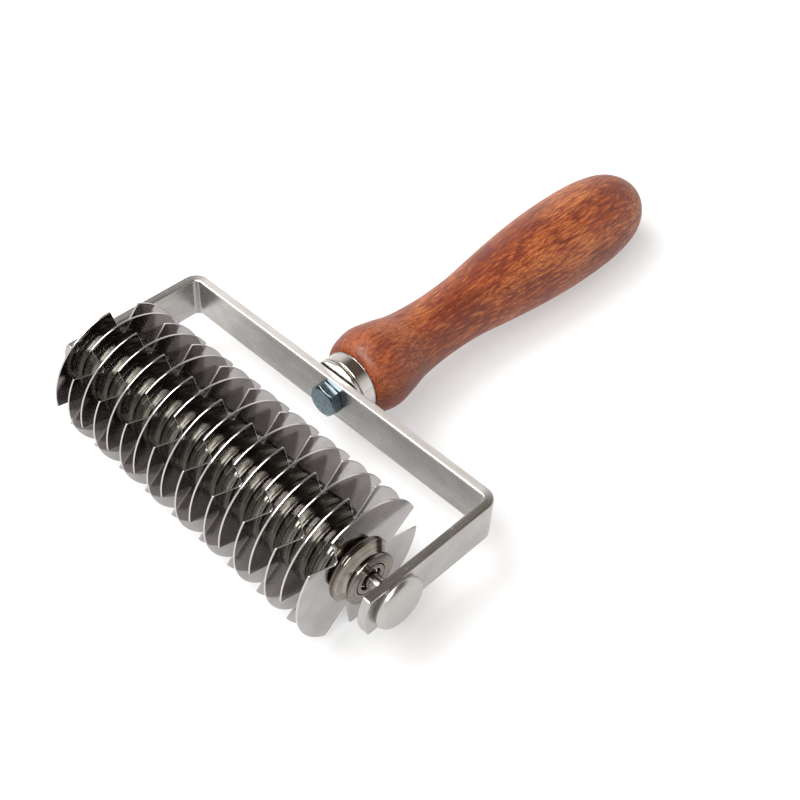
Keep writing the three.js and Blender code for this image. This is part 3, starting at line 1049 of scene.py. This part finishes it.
def pale_floor(radius, colour):
    """A round floor under the object, with a little light of its own."""
    bm = bmesh.new()
    bmesh.ops.create_circle(bm, cap_ends=True, segments=96, radius=radius)
    shader = new_finish("pale floor")
    mottle = shader.noise(shader.place(Matrix.Identity(4), (3, 3, 3)), 2)
    material = shader.surface({
        "Base Color": shader.shade(mottle, colour, 1.0, 1.01), "Roughness": 0.8, "Specular IOR Level": 0.2,
        "Emission Color": (1.0, 1.0, 1.0, 1.0), "Emission Strength": 0.42})
    as_object("floor", bm, material)


def studio_sky(strength):
    """Pale surroundings, darker and warmer overhead."""
    world = bpy.data.worlds.new("studio")
    shader = Shader(world)
    way = shader.add("ShaderNodeTexCoord", output="Generated")
    stops = ((0.0, (1.7, 1.7, 1.7)), (0.45, (1.35, 1.33, 1.30)), (0.74, (0.18, 0.14, 0.11)))
    tint = shader.add("ShaderNodeValToRGB", {"stops": stops}, {"Fac": shader.split(way)[2]})
    sky = shader.add("ShaderNodeBackground", None, {"Color": tint, "Strength": strength})
    shader.add("ShaderNodeOutputWorld", None, {"Surface": sky})
    bpy.context.scene.world = world


class CUTTER_OT_stage(bpy.types.Operator):
    """Set the floor, the lights and the camera"""

    bl_idname = "cutter.stage"
    bl_label = "Stage"

    def execute(self, context):
        sizes = context.scene.cutter_stage
        azimuth, elevation = sizes.camera_azimuth, sizes.camera_elevation
        back = Vector((math.sin(azimuth) * math.cos(elevation), -math.cos(azimuth) * math.cos(elevation),
                       math.sin(elevation)))
        target = Vector(sizes.camera_target)
        lens = bpy.data.cameras.new("camera")
        lens.lens = sizes.camera_lens
        lens.clip_start = 0.01
        camera = linked("camera", lens)
        aim = back.to_track_quat("Z", "Y").to_matrix().to_4x4()
        camera.matrix_world = (Matrix.Translation(target + back * sizes.camera_distance) @ aim
                               @ Matrix.Rotation(sizes.camera_roll, 4, "Z"))
        context.scene.camera = camera
        context.scene.view_settings.view_transform = "Standard"

        pale_floor(sizes.floor_radius, colours().floor)
        studio_sky(sizes.sky)
        soft_light("left light", (-0.45, -0.12, 0.88), 0.36, 0.6, sizes.left, target)
        soft_light("key light", (-0.08, -0.47, 0.80), 0.95, 0.5, sizes.key, target)
        return {"FINISHED"}


# -------- Add-on --------

PIECE_OPERATORS = (
    CUTTER_OT_discs, CUTTER_OT_spacers, CUTTER_OT_hubs, CUTTER_OT_bearing, CUTTER_OT_axle, CUTTER_OT_yoke,
    CUTTER_OT_bolt, CUTTER_OT_ferrule, CUTTER_OT_insert, CUTTER_OT_handle, CUTTER_OT_stage)
SETTINGS = {
    "cutter_roller": CutterRollerSizes, "cutter_yoke": CutterYokeSizes, "cutter_handle": CutterHandleSizes,
    "cutter_colours": CutterColours, "cutter_stage": CutterStageSizes}


class CUTTER_PT_panel(bpy.types.Panel):
    """Sizes, colours and pieces of the pastry cutter"""

    bl_idname = "CUTTER_PT_panel"
    bl_label = "Pastry Cutter"
    bl_space_type = "VIEW_3D"
    bl_region_type = "UI"
    bl_category = "Pastry Cutter"

    def draw(self, context):
        for name, group in SETTINGS.items():
            box = self.layout.box()
            box.label(text=group.__doc__)
            for field in group.__annotations__:
                box.prop(getattr(context.scene, name), field)
        for operator in PIECE_OPERATORS:
            self.layout.operator(operator.bl_idname)


CLASSES = (*SETTINGS.values(), *PIECE_OPERATORS, CUTTER_PT_panel)


def register():
    for kind in CLASSES:
        bpy.utils.register_class(kind)
    for name, group in SETTINGS.items():
        setattr(bpy.types.Scene, name, bpy.props.PointerProperty(type=group))


def unregister():
    for name in SETTINGS:
        delattr(bpy.types.Scene, name)
    for kind in reversed(CLASSES):
        bpy.utils.unregister_class(kind)


def main():
    register()
    for operator in PIECE_OPERATORS:
        getattr(bpy.ops.cutter, operator.bl_idname.split(".")[1])()


if __name__ == "__main__":
    main()
